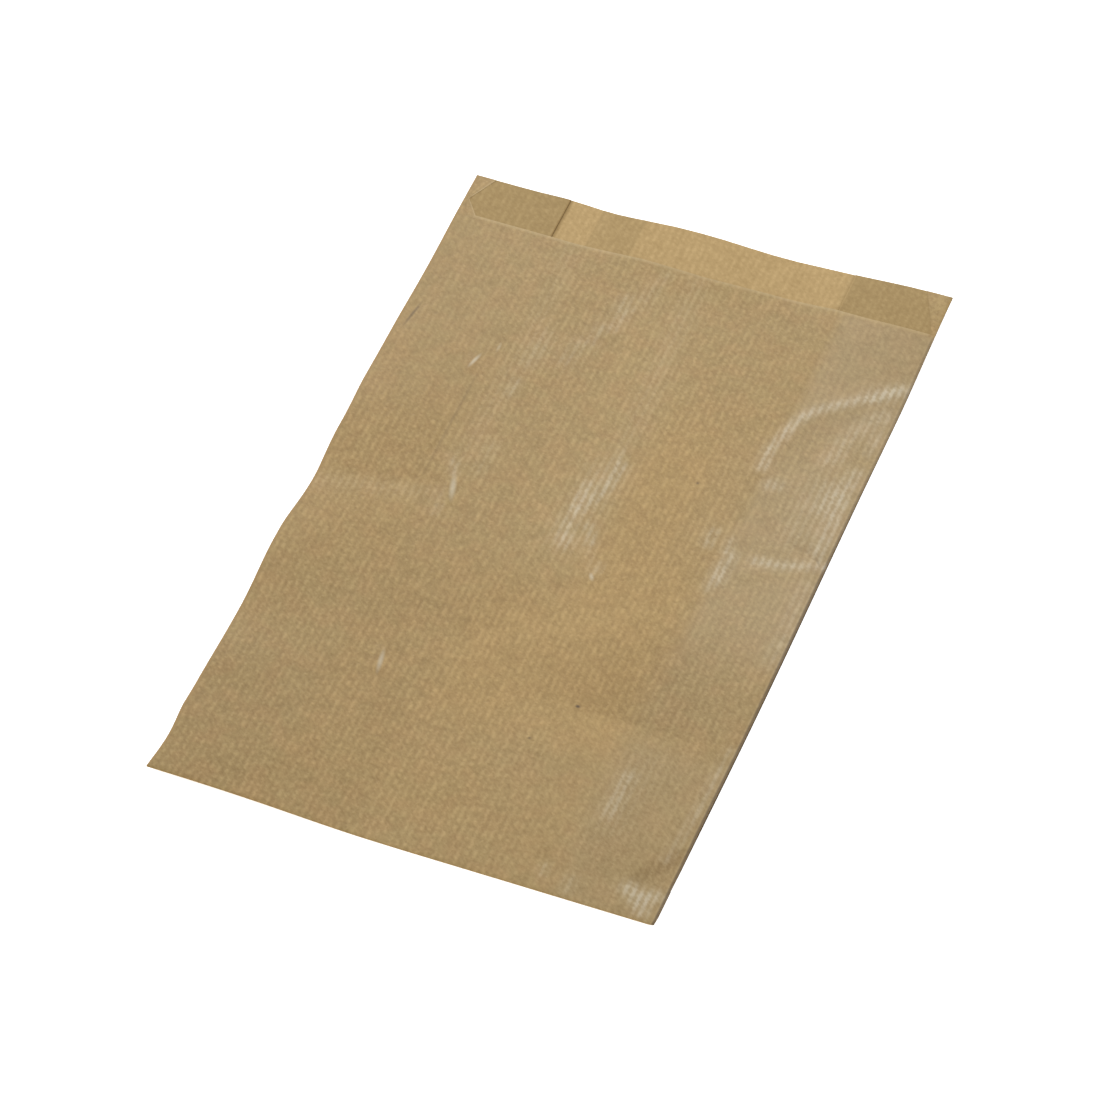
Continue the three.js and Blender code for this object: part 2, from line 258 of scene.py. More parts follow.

# Painted sheen: places where the glaze is glossier and its sheen is painted pale, with points, half width
# and strength
paintedSheenStrokes = [
    ([(54.3, 203), (54, 212), (55.8, 219), (58, 228), (62, 234), (69, 240), (76, 245), (86.5, 253)],
     2.1, 0.95),
    ([(79, 248), (91.5, 254)], 4.0, 0.55),
    ([(75.5, 214), (78, 228), (85.5, 240)], 4.0, 0.5),
    ([(86.5, 231), (86, 222)], 2.2, 0.5),
    ([(85.5, 211), (84.5, 200), (85.5, 188), (85.5, 172)], 3.0, 0.75),
    ([(80.5, 203), (80, 192)], 3.5, 0.5),
    ([(59, 196), (62.5, 197)], 2.6, 0.6),
    ([(76.5, 200), (77, 178)], 8.0, 0.3),
    ([(89.5, 166), (82, 164.2), (74, 161.8), (67, 161.3)], 2.4, 0.75),
    ([(85, 173), (89, 167)], 1.5, 0.4),
    ([(49, 169), (48.8, 163)], 2.2, 0.7),
    ([(55.8, 167), (56, 162)], 1.8, 0.5),
    ([(58.5, 161), (58.3, 148)], 2.2, 0.7),
    ([(56.3, 155), (56.3, 144)], 2.2, 0.45),
    ([(87, 156), (87.5, 120)], 4.0, 0.35),
    ([(60.5, 56), (60, 39)], 2.6, 0.5),
    ([(63, 62), (62, 34)], 7.0, 0.12),
    ([(87.4, 78), (86.5, 45), (84, 27)], 2.0, 0.45),
    ([(77, 11.5), (82, 9), (86.5, 11)], 3.2, 0.95),
    ([(82, 8), (84, 4)], 3.0, 0.8),
    ([(48.5, 10), (48.5, 7)], 2.0, 0.35),
    ([(58.5, 8), (58.5, 4)], 2.4, 0.3),
    ([(-88.5, 141.5), (-67, 146.5), (-46, 150.5)], 4.5, 0.14),
    ([(-46, 167), (-44, 162)], 1.6, 0.55),
    ([(-43, 146), (-43.5, 142)], 1.4, 0.35),
    ([(-36, 179), (-36, 166)], 3.0, 0.18),
    ([(-39.5, 210), (-40, 204)], 1.8, 0.35),
    ([(-38, 235), (-38.5, 221)], 3.0, 0.25),
    ([(7, 192), (7, 188)], 2.0, 0.4),
    ([(9, 186), (7.5, 176), (4.5, 167), (2, 161)], 2.2, 0.75),
    ([(0.8, 174), (0, 163)], 1.8, 0.6),
    ([(0.5, 155.5), (3, 145)], 2.6, 0.5),
    ([(4.5, 181), (2.5, 148)], 7.0, 0.3),
    ([(8.8, 156), (11.8, 149)], 2.0, 0.45),
    ([(12, 148), (16.5, 136)], 1.8, 0.2),
    ([(18.3, 141), (18.5, 137)], 1.4, 0.4),
    ([(3, 277), (5, 238), (7, 200)], 5.0, 0.14),
    ([(-8.5, 276), (-12, 263)], 2.4, 0.2),
    ([(-18.4, 261), (-18.8, 256)], 2.2, 0.3),
    ([(-15, 256), (-17.4, 246)], 2.2, 0.32),
    ([(-21, 245), (-22, 237)], 2.0, 0.3),
    ([(-26, 235), (-27.5, 226)], 2.6, 0.25),
    ([(-13, 262), (-28, 226)], 7.0, 0.1),
    ([(-45, 276), (-43, 235), (-44, 170)], 5.0, 0.1),
]

# Small sharp marks: x, y, half length, half width, direction in degrees, strength
# dark specks in the paper, and painted shade along a few creases and the left inner fold's line
specksAndPaintedCreaseShade = [
    (33.7, 78.7, 0.9, 0.7, 0, 1.0),
    (23.6, 59.9, 0.6, 0.6, 0, 0.6),
    (36.0, 188.0, 0.7, 0.6, 90, 0.6),
    (-85.8, 227.5, 6.4, 0.6, 82, 0.6),
    (-53.9, 184.0, 28.0, 0.6, 90, 0.22),
    (87.4, 167.6, 2.4, 0.5, 130, 0.3),
]
# painted glints
paintedGlints = [
    (-57.1, 214.4, 3.4, 0.7, 76, 0.6),
    (-51.5, 223.5, 2.2, 0.6, 90, 0.25),
    (-42.0, 155.8, 5.6, 1.1, 105, 0.5),
    (-35.5, 73.6, 4.8, 0.9, 99, 0.5),
    (17.3, 134.4, 1.7, 0.8, 120, 0.5),
]

# Painted shade: places painted a little darker, and painted light where the strength is negative
shades = [
    ([(61, 214), (67, 227), (76, 237.5), (88.5, 245)], 3.2, 0.3),
    ([(83.5, 216), (85, 224)], 3.0, 0.35),
    ([(74, 174), (80, 172), (88.5, 169.5)], 2.2, 0.45),
    ([(88.5, 30), (79, 17.5)], 3.4, 0.9),
    ([(46.5, 17), (46.5, 16)], 2.2, 0.5),
    ([(-88.5, 149.5), (-67, 153), (-47, 157.5)], 3.2, 0.2),
    ([(-53, 161), (-48, 157)], 1.2, 0.35),
    ([(8.5, 128.5), (8.5, 127.5)], 2.2, 0.4),
    ([(-21, 82), (-2, 100), (30, 116)], 7.0, -0.18),
]

# Broad zones: x from and to, y from and to, softness across, below and above, strength
zones = {
    # painted pale sheen veil
    "paintedSheenVeil": [
        (56, 99, 118, 279, 3, 22, 1, 0.075),
        (74, 99, 118, 160, 6, 8, 8, 0.03),
    ],
    # painted shade, and painted light where the strength is negative
    "shade": [
        (-99, -50, -9, 72, 10, 1, 14, 0.4),
        (-50, -16, -9, 112, 8, 1, 14, 0.24),
        (-50, 0, 98, 128, 8, 10, 8, 0.17),
        (-99, -50, 158, 200, 8, 10, 14, 0.24),
        (-99, -50, 80, 135, 8, 10, 10, 0.17),
        (34, 74, 78, 112, 10, 1.2, 16, 0.3),
        (12, 99, 78, 100, 8, 1.2, 10, 0.12),
        (14, 54, 58, 78, 8, 12, 1.2, -0.24),
        (14, 54, 112, 290, 8, 16, 1, -0.12),
        (-16, 14, 130, 290, 8, 16, 1, -0.22),
        (58, 72, 15, 60, 5, 8, 8, 0.22),
    ],
    # painted greyer hue where sheen lies
    "paintedSheenTint": [
        (54, 99, -9, 72, 6, 1, 8, 0.42),
        (54, 99, 80, 210, 6, 6, 16, 0.22),
        (58, 99, 228, 279, 6, 12, 1, 0.36),
        (16, 54, 15, 58, 8, 8, 8, 0.1),
        (38, 54, 150, 215, 6, 16, 16, 0.22),
        (-99, -50, 218, 279, 8, 12, 1, 0.12),
        (-16, 54, 258, 279, 8, 10, 1, 0.08),
    ],
    "calm": [
        (34, 99, -9, 76, 10, 1, 10, 0.4),
        (50, 99, 225, 279, 8, 12, 1, 0.3),
        (-99, -50, 190, 279, 8, 16, 1, 0.3),
    ],
    "warm": [
        (14, 52, 62, 215, 8, 22, 30, 0.6),
        (-99, 99, 281, 309, 1, 1, 1, 0.12),
        (-15, 14, 55, 125, 8, 16, 16, 0.6),
        (-99, -50, 110, 195, 6, 16, 16, 0.3),
        (-50, -15, 20, 130, 6, 16, 16, 0.25),
        (-15, 50, 15, 45, 6, 8, 8, 0.25),
    ],
}


def distanceTo(line, x, y):
    best = np.full(np.shape(x), 1e9)
    for (x0, y0), (x1, y1) in zip(line[:-1], line[1:]):
        dx, dy = x1 - x0, y1 - y0
        share = np.clip(((x - x0) * dx + (y - y0) * dy) / (dx * dx + dy * dy), 0, 1)
        best = np.minimum(best, np.hypot(x - x0 - share * dx, y - y0 - share * dy))
    return best


def traced(strokes, x, y):
    total = np.zeros(np.shape(x))
    for line, width, strength in strokes:
        near = distanceTo(line, x, y) / width
        total = total + strength * np.exp(-near * near)
    return total


def spread(kind, x, y):
    total = np.zeros(np.shape(x))
    for left, right, low, high, softAcross, softBelow, softAbove, strength in zones[kind]:
        pastLeft = ease(left - softAcross, left + softAcross, x)
        pastRight = ease(right - softAcross, right + softAcross, x)
        along = ease(low - softBelow, low + softBelow, y) * (1 - ease(high - softAbove, high + softAbove, y))
        total = total + strength * (pastLeft - pastRight) * along
    return total


def relief(x, y):
    pastBend = ease(bendReach + lie["creaseFadeNear"], turnEnd + lie["creaseFadeNear"], y)
    beforeCut = 1 - ease(cutFoot - lie["creaseFadeMouth"], cutFoot, y)
    return traced(creases, x, y) * pastBend * beforeCut


# A station is a line across the sheet. Runs: 0 turned under, 1 in the bottom bend, 2 on top
def makeStations():
    coarse, fine = fineness["turnedStation"], fineness["station"]
    waist, mouth = sheet["leftTab"][1][0], sheet["length"]
    flap = evenly(flapTip, turnEnd + waist, coarse) + evenly(turnEnd + waist, turnEnd, coarse)[1:]
    rows = [(0, y, 0) for y in flap]
    tubeStart = len(rows) - 1
    rows += [(0, y, 0) for y in evenly(turnEnd, bendReach, coarse)[1:-1]]
    steps = fineness["bendSteps"]
    rows += [(1, bendReach, math.pi * (1 - step / steps)) for step in range(steps + 1)]
    rows += [(2, y, 0) for y in evenly(bendReach, cutFoot, fine)[1:]]
    cutIndex = len(rows) - 1
    lip = evenly(cutFoot, cutFoot + waist, fine)[1:]
    lip += evenly(cutFoot + waist, mouth - fineness["lastStation"], fineness["lipStation"])[1:]
    rows += [(2, y, 0) for y in lip + [mouth]]
    run, y, angle = np.array(rows).T
    rise = np.where(run == 2, y - cutFoot, np.where(run == 0, y - turnEnd, 0))
    return {"run": run, "y": y, "angle": angle, "rise": rise, "tube": tubeStart, "cut": cutIndex}


stations = makeStations()
onTop = stations["run"] == 2


def tabWidth(name):
    widths = np.array(sheet[name])
    return np.interp(stations["rise"], widths[:, 0], widths[:, 1])


leftCut = -half + tabWidth("leftTab")
rightCut = half - tabWidth("rightTab")


def place(x, height):
    run, angle = stations["run"], stations["angle"]
    radius = sheet["bottomFoldRadius"] + height
    y = np.where(run == 1, bendReach - radius * np.sin(angle), stations["y"])
    above = rideHeight(x, y) + height
    inBend = stackHeight(x) + sheet["bottomFoldRadius"] + radius * np.cos(angle)
    z = np.where(run == 2, above, np.where(run == 1, inBend, stackHeight(x) - height))
    right, along = shift(x, y)
    return np.stack([x + right, y + along, z + lift(x, y)], axis=1)


def layerHeight(layer, x):
    loose = (airHeight(x, stations["y"]) + relief(x, stations["y"])) * lie["airBelow"][layer]
    return pressedHeight(layer, x) + np.where(onTop, loose, 0)


# A column is a line along the sheet, with both faces of the paper and its marks: where it lies one layer
# thick (painted light shining through), painted shadow in a fold, painted fold shade (browner), a pale cut
# edge with a painted highlight inside the right fold, glossier glaze with painted sheen, painted shade and
# light, a painted sheen veil, warm hue, a greyer hue painted for sheen, and calm (weaker ribs)
def flatColumn(layer, x, low=0.0, high=1.0, **marks):
    x = x + 0 * stations["y"]
    middle = layerHeight(layer, x)
    faces = [place(x, middle + sheet["paper"] * (share - 0.5)) for share in (low, high)]
    if layer in (front, lowerGusset):
        faces.reverse()
    column = {"outside": faces[0], "inside": faces[1], **marks}
    if layer == front:
        shown = stations["run"] > 0
        column["rub"] = np.where(onTop, traced(paintedSheenStrokes, x, stations["y"]), 0)
        column["shade"] = shown * (traced(shades, x, stations["y"]) + spread("shade", x, stations["y"]))
        for kind in ("paintedSheenVeil", "warm", "paintedSheenTint", "calm"):
            column[kind] = shown * spread(kind, x, stations["y"])
        # painted fold shade on the bottom bend
        bent = ease(*marking["bendAngles"], stations["angle"]) * (stations["run"] == 1)
        column["fold"] = marking["bend"] * bent
    return column


# The bend between two layers. Side is 1 where it opens to the left and -1 where it opens to the right.
# Its low and high values are painted shadow laid on the fold's faces
def foldColumns(lowLayer, highLayer, foldX, side, outsideOfFold, upwards, slotLow, slotHigh, **marks):
    x = foldX + 0 * stations["y"]
    low, high = layerHeight(lowLayer, x), layerHeight(highLayer, x)
    radius = (high - low) / 2
    made = []
    for step in range(fineness["foldSteps"] + 1):
        share = step / fineness["foldSteps"]
        share = share if upwards else 1 - share
        angle = mix(-math.pi / 2, math.pi / 2, share)
        faces = []
        for offset in (sheet["paper"] / 2, -sheet["paper"] / 2):
            out = (radius + offset) * math.cos(angle)
            up = (radius + offset) * math.sin(angle)
            faces.append(place(foldX - side * radius + side * out, (low + high) / 2 + up))
        if not outsideOfFold:
            faces.reverse()
        slot = mix(slotLow, slotHigh, ease(*marking["slotShares"], share))
        made.append({"outside": faces[0], "inside": faces[1], "slot": slot, "innerSlot": slot, **marks})
    return made


seamLeft = -foldLine + sheet["seamOffset"]
seamRight = seamLeft + sheet["seamWidth"]
plainStart = seamRight + sheet["seamStep"]
thin = sheet["paper"]


# The back panel between its two side strips, with the lapped seam
def backColumns():
    outer, inner, second, third = (step - foldLine for step in fineness["besideLeftFold"])
    plainEnd, nearRight, atRight = (foldLine - step for step in fineness["besideRightFold"])
    inset = fineness["seamInset"]
    onSeam = (seamLeft, seamLeft + inset, seamRight - inset, seamRight)
    # painted shadow and painted fold shade along the left gusset's inner fold
    made = [flatColumn(back, outer, innerSlot=0.6, fold=1.0)]
    made += [flatColumn(back, inner, innerSlot=0.1, fold=0.5)]
    # where the back panel lies one layer thick, painted light shining through the paper
    made += [flatColumn(back, x, single=1.0) for x in (second, third, seamLeft - fineness["besideSeam"])]
    made += [flatColumn(back, seamLeft - thin, single=0.5)]
    made += [flatColumn(back, x, 0, 2, single=0.4) for x in onSeam]
    made += [flatColumn(back, seamRight + thin, 1, 2, single=0.5)]
    made += [flatColumn(back, x, single=1.0) for x in evenly(plainStart, plainEnd, fineness["otherColumn"])]
    made += [flatColumn(back, nearRight, single=0.7), flatColumn(back, atRight, single=0.3)]
    return made


# All columns from the left tab through the gussets and the back panel to the right tab,
# and the number of the one inside the left gusset's inner fold where the count across jumps
def tubeColumns():
    atOuter, nearOuter, nearInner, atInner = fineness["gussetInsets"]
    insets = evenly(half - nearOuter, foldLine + nearInner, fineness["otherColumn"])
    insets = [half - atOuter] + insets + [foldLine + atInner]
    # painted shadow on the gusset columns beside the outer fold
    slots = [0.7, 0.2] + [0.0] * (len(insets) - 2)

    def gusset(layer, side, outwards):
        made = [flatColumn(layer, side * inset, slot=slot) for inset, slot in zip(insets, slots)]
        return made[::-1] if outwards else made

    tabShares = [0.0, 0.1, 0.3, 0.6, 0.85]
    rimLeft = [1.0, 0.3, 0.0, 0.0, 0.0]
    # painted highlight inside the right fold
    paintedHighlightRight = [0.0, 0.3, 0.3, 0.0, 0.0]
    # painted shadow along the right edge, fading towards the mouth
    paintedShadowRight = [0.0, 0.0, 0.2, 0.75, 0.8]
    thinning = 1 - marking["rightThins"] * ease(*marking["rightThinsY"], stations["y"])
    fading = thinning * (1 - ease(cutFoot - marking["cutFade"], cutFoot, stations["y"]))
    onTab = np.arange(len(stations["y"])) >= stations["cut"]
    made = [flatColumn(front, mix(leftCut, -half, share), rim=onTab * rim)
            for share, rim in zip(tabShares, rimLeft)]
    # painted shadow and painted fold shade on the side folds
    made += foldColumns(upperGusset, front, -half, -1, True, False, 0.4, 0.0, fold=1.0)
    made += gusset(upperGusset, -1, False)
    jump = len(made) + 1
    made += foldColumns(lowerGusset, upperGusset, -foldLine, 1, False, False, 0.5, 0.25, fold=1.0)
    made += gusset(lowerGusset, -1, True)
    made += foldColumns(back, lowerGusset, -half, -1, True, False, 0.4, 0.4)
    made += gusset(back, -1, False)
    made += backColumns()
    made += gusset(back, 1, True)
    made += foldColumns(back, lowerGusset, half, 1, True, True, 1.0, 1.0)
    made += gusset(lowerGusset, 1, False)
    made += foldColumns(lowerGusset, upperGusset, foldLine, -1, False, True, 0.1, 0.0, single=0.6)
    made += gusset(upperGusset, 1, True)
    made += foldColumns(upperGusset, front, half, 1, True, True, 0.6 * fading, 0.55 * fading, fold=0.3)
    made += [flatColumn(front, mix(rightCut, half, share), slot=dark * fading, rim=rim * fading)
             for share, dark, rim in zip(tabShares[::-1], paintedShadowRight[::-1], paintedHighlightRight[::-1])]
    return made, jump


def frontColumns():
    count = round(2 * half / fineness["frontColumn"])
    rim = np.exp(-((cutFoot - stations["y"]) / marking["rimReach"]) ** 2) * onTop
    return [flatColumn(front, mix(rightCut, leftCut, index / count), rim=rim) for index in range(1, count)]


# Mesh data: both faces of every column, then the cut edges
class SheetMesh:
    marks = ("single", "slot", "fold", "rim", "rub", "shade", "paintedSheenVeil", "warm", "paintedSheenTint", "calm")

    def __init__(self):
        self.points, self.faces, self.finish = [], [], []
        self.values = {name: [] for name in ("across", *self.marks)}
        self.count = 0

    def addColumn(self, column, first, last, across):
        size = last - first + 1
        ids = {}
        for name in ("outside", "inside"):
            self.points.append(column[name][first:last + 1])
            ids[name] = dict(zip(range(first, last + 1), range(self.count, self.count + size)))
            self.count += size
            self.values["across"].append(np.full(size, across))
            for mark in self.marks:
                value = column.get("innerSlot" if (name, mark) == ("inside", "slot") else mark, 0)
                self.values[mark].append((value + 0 * stations["y"])[first:last + 1])
        return ids

    def addQuad(self, corners, finish):
        self.faces.append(corners[::-1])
        self.finish.append(finish)

    def addEdge(self, a, b, i, j):
        self.addQuad((a["outside"][i], b["outside"][j], b["inside"][j], a["inside"][i]), 2)

    def addStrip(self, a, b, first, last):
        aOut, bOut, aIn, bIn = a["outside"], b["outside"], a["inside"], b["inside"]
        for i in range(first, last):
            self.addQuad((aOut[i], bOut[i], bOut[i + 1], aOut[i + 1]), 0)
            self.addQuad((aIn[i], aIn[i + 1], bIn[i + 1], bIn[i]), 1)
        self.addEdge(b, a, first, first)
        self.addEdge(a, b, last, last)


# Arc length across the sheet, counted so that it equals x on the front panel.
# It jumps once, inside the left gusset's inner fold.
def acrossOf(columns, jump, startX, endX):
    middle = len(stations["y"]) // 2
    spots = np.array([column["outside"][middle] for column in columns])
    steps = np.linalg.norm(np.diff(spots, axis=0), axis=1)
    fromStart = startX - np.concatenate([[0], np.cumsum(steps)])
    fromEnd = endX + np.concatenate([np.cumsum(steps[::-1])[::-1], [0]])
    return [*fromStart[:jump], *fromEnd[jump:]]


def foldedSheet():
    mesh = SheetMesh()
    first, cut, last = stations["tube"], stations["cut"], len(stations["y"]) - 1
    tube, jump = tubeColumns()
    startX = -half + sheet["leftTab"][0][1]
    endX = half - sheet["rightTab"][0][1]
    ids = []
    for index, (column, across) in enumerate(zip(tube, acrossOf(tube, jump, startX, endX))):
        start = 0 if index in (0, len(tube) - 1) else first
        ids.append(mesh.addColumn(column, start, last, across))
    for a, b in zip(ids[:-1], ids[1:]):
        mesh.addStrip(a, b, first, last)
    middle = frontColumns()
    frontIds = [ids[-1]]
    for index, column in enumerate(middle):
        across = mix(endX, startX, (index + 1) / (len(middle) + 1))
        frontIds.append(mesh.addColumn(column, 0, cut, across))
    frontIds.append(ids[0])
    for a, b in zip(frontIds[:-1], frontIds[1:]):
        mesh.addStrip(a, b, 0, cut)
    for i in range(cut, last):
        mesh.addEdge(ids[0], ids[0], i, i + 1)
        mesh.addEdge(ids[-1], ids[-1], i + 1, i)
    for i in range(first):
        mesh.addEdge(ids[0], ids[0], i + 1, i)
        mesh.addEdge(ids[-1], ids[-1], i, i + 1)
    return mesh


folded = foldedSheet()
points = np.concatenate(folded.points)
low, high = points.min(axis=0), points.max(axis=0)
centre = np.array([(low[0] + high[0]) / 2, (low[1] + high[1]) / 2, low[2]])
bagMesh = bpy.data.meshes.new("paperBag")
bagMesh.from_pydata(((points - centre) * mm).tolist(), [], folded.faces)
bagMesh.polygons.foreach_set("material_index", np.array(folded.finish, dtype=np.int32))
bagMesh.polygons.foreach_set("use_smooth", np.ones(len(folded.faces), dtype=bool))
for name, values in folded.values.items():
    attribute = bagMesh.attributes.new(name, "FLOAT", "POINT")
    attribute.data.foreach_set("value", np.concatenate(values).astype(np.float32))
bagMesh.update()
bagMesh.set_sharp_from_angle(angle=math.radians(fineness["sharpAngle"]))
paperBag = bpy.data.objects.new("paperBag", bagMesh)
bpy.context.scene.collection.objects.link(paperBag)
print("sheet folded:", len(points), "points,", len(folded.faces), "faces")


# Shader sockets that can be added, multiplied and so on
class Wire:
    def __init__(self, tree, socket):
        self.tree, self.socket = tree, socket

    def maths(self, operation, other=0.0, first=None):
        node = self.tree.nodes.new("ShaderNodeMath")
        node.operation = operation
        feed(self.tree, node.inputs[0], self if first is None else first)
        feed(self.tree, node.inputs[1], self if first is not None else other)
        return Wire(self.tree, node.outputs[0])

    def __add__(self, other):
        return self.maths("ADD", other)

    def __radd__(self, other):
        return self.maths("ADD", other)

    def __sub__(self, other):
        return self.maths("SUBTRACT", other)

    def __rsub__(self, other):
        return self.maths("SUBTRACT", first=other)

    def __mul__(self, other):
        return self.maths("MULTIPLY", other)

    def __rmul__(self, other):
        return self.maths("MULTIPLY", other)

    def clipped(self):
        wire = self.maths("ADD")
        wire.socket.node.use_clamp = True
        return wire


def feed(tree, socket, value):
    if isinstance(value, Wire):
        tree.links.new(value.socket, socket)
    elif isinstance(value, (tuple, list)) and len(value) == 3 and socket.type == "RGBA":
        socket.default_value = (*value, 1)
    else:
        socket.default_value = value


class Finish:
    def __init__(self, name):
        self.material = bpy.data.materials.new(name)
        self.material.use_nodes = True
        self.tree = self.material.node_tree
        self.shader = self.tree.nodes["Principled BSDF"]

    def node(self, kind, settings=None, output=0, **values):
        made = self.tree.nodes.new("ShaderNode" + kind)
        for key, value in (settings or {}).items():
            setattr(made, key, value)
        for key, value in values.items():
            socket = made.inputs[int(key[1:])] if key[0] == "i" and key[1:].isdigit() else made.inputs[key]
            feed(self.tree, socket, value)
        return Wire(self.tree, made.outputs[output])

    def blend(self, share, a, b):
        return self.node("Mix", {"data_type": "RGBA"}, 2, i0=share, i6=a, i7=b)

    def vector(self, operation, a, b=(0.0, 0.0, 0.0), output=0):
        return self.node("VectorMath", {"operation": operation}, output, i0=a, i1=b)

    def scaled(self, vector, scale):
        return self.node("VectorMath", {"operation": "SCALE"}, 0, Vector=vector, Scale=scale)

    def turned(self, vector, angle):
        return self.node("VectorRotate", {"rotation_type": "Z_AXIS"}, 0, Vector=vector, Angle=angle)

    def noise(self, vector, scale, detail=2.0, roughness=0.5):
        return self.node("TexNoise", None, 0, Vector=vector, Scale=scale, Detail=detail, Roughness=roughness)

    def steps(self, value, start, end):
        return self.node("MapRange", {"interpolation_type": "SMOOTHSTEP"}, 0, i0=value, i1=start, i2=end)

    def mark(self, name):
        return self.node("Attribute", {"attribute_name": name}, 2)

    # Small marks that lie along the direction given for each and fade from inner to outer half widths
    def flecks(self, spot, marks, outer=1.5, inner=0.1):
        total = 0.0
        for x, y, halfLength, halfWidth, degrees, strength in marks:
            away = self.vector("SUBTRACT", spot, (x - centre[0], y - centre[1], 0.0))
            away = self.turned(away, -math.radians(degrees))
            away = self.vector("MULTIPLY", away, (1 / halfLength, 1 / halfWidth, 0.0))
            away = self.vector("LENGTH", away, output=1)
            total = total + self.steps(away, outer, inner) * strength
        return total

    def give(self, name, value):
        feed(self.tree, self.shader.inputs[name], value)


# Looks of the paper, with sizes in millimetres. Scales are those of noise, steps the ends of a soft step,
# and shares how much of a colour a full mark lays on.
paper = {
    "glazed": (0.335, 0.231, 0.093),
    "glazedWarm": (0.35, 0.229, 0.093),
    "warm": (0.375, 0.24, 0.088),
    # greyer brown laid on as a painted sheen tint
    "paintedSheenTint": (0.32, 0.232, 0.112),
    "inner": (0.342, 0.236, 0.1),
    # inner colour where one layer lies alone, lightened as painted light shining through it
    "innerPaintedShineThrough": (0.438, 0.301, 0.133),
    "edge": (0.42, 0.27, 0.12),
    # orange brown laid on folds as painted shade
    "fold": (0.32, 0.185, 0.05),
    "paintedFoldShadeShare": 0.6,
    # near-black brown laid on as painted shadow in folds and along the right edge
    "slot": (0.1, 0.066, 0.036),
    # pale cream for cut edges and for the painted highlight inside the right fold
    "rim": (0.5, 0.38, 0.2),
    "cutEdgeAndPaintedHighlightShare": 0.55,
    # pale colour laid on as painted sheen and painted glints
    "rub": (0.57, 0.52, 0.395),
    "paintedSheenShare": 0.5,
    "dashOfRib": 0.45,
    "dashOfFibre": 1.1,
    "dashSteps": (0.5, 1.1),
    "dashLeast": 0.3,
    "patchSteps": (0.3, 0.65),
    "patchLeast": 0.6,
    # pale grey laid on as a painted sheen veil
    "paintedSheenVeil": (0.57, 0.51, 0.4),
    "speck": (0.08, 0.05, 0.03),
    "speckShare": 0.75,
    "speckScale": 0.03,
    "speckSize": 0.013,
    "ribPitch": 2.57,
    "ribWander": 1.2,
    "wanderScale": (0.2, 0.06),
    "beadScale": (0.46, 0.5),
    "beadSteps": (0.36, 0.64),
    "ribMean": 0.25,
    "ribTone": 0.2,
    "ribHeight": 0.03,
    "fibreScale": (0.9, 0.48),
    "fibreTurn": 0.87,
    "fibreTone": 0.28,
    "fibreHeight": 0.014,
    "mottleScale": 0.16,
    "mottleTone": 0.1,
    "mottleHeight": 0.02,
    "cloudScale": 0.022,
    "cloudTone": 0.08,
    "hueScale": 0.1,
    "hueSteps": (0.36, 0.68),
    # how much a full mark of painted shade darkens the paper
    "shadeTone": 0.2,
    "toneTint": (1.0, 1.15, 1.5),
    "glazeRoughness": 0.5,
    "innerRoughness": 0.75,
    "edgeRoughness": 0.9,
    "fibreRoughness": 0.2,
    "rubSmoothness": 0.1,
    "glazeCoat": 0.02,
    "rubCoat": 8.0,  # times the coat elsewhere
    "coatRoughness": 0.3,
    "specular": 0.2,
    "innerTexture": 0.65,
}


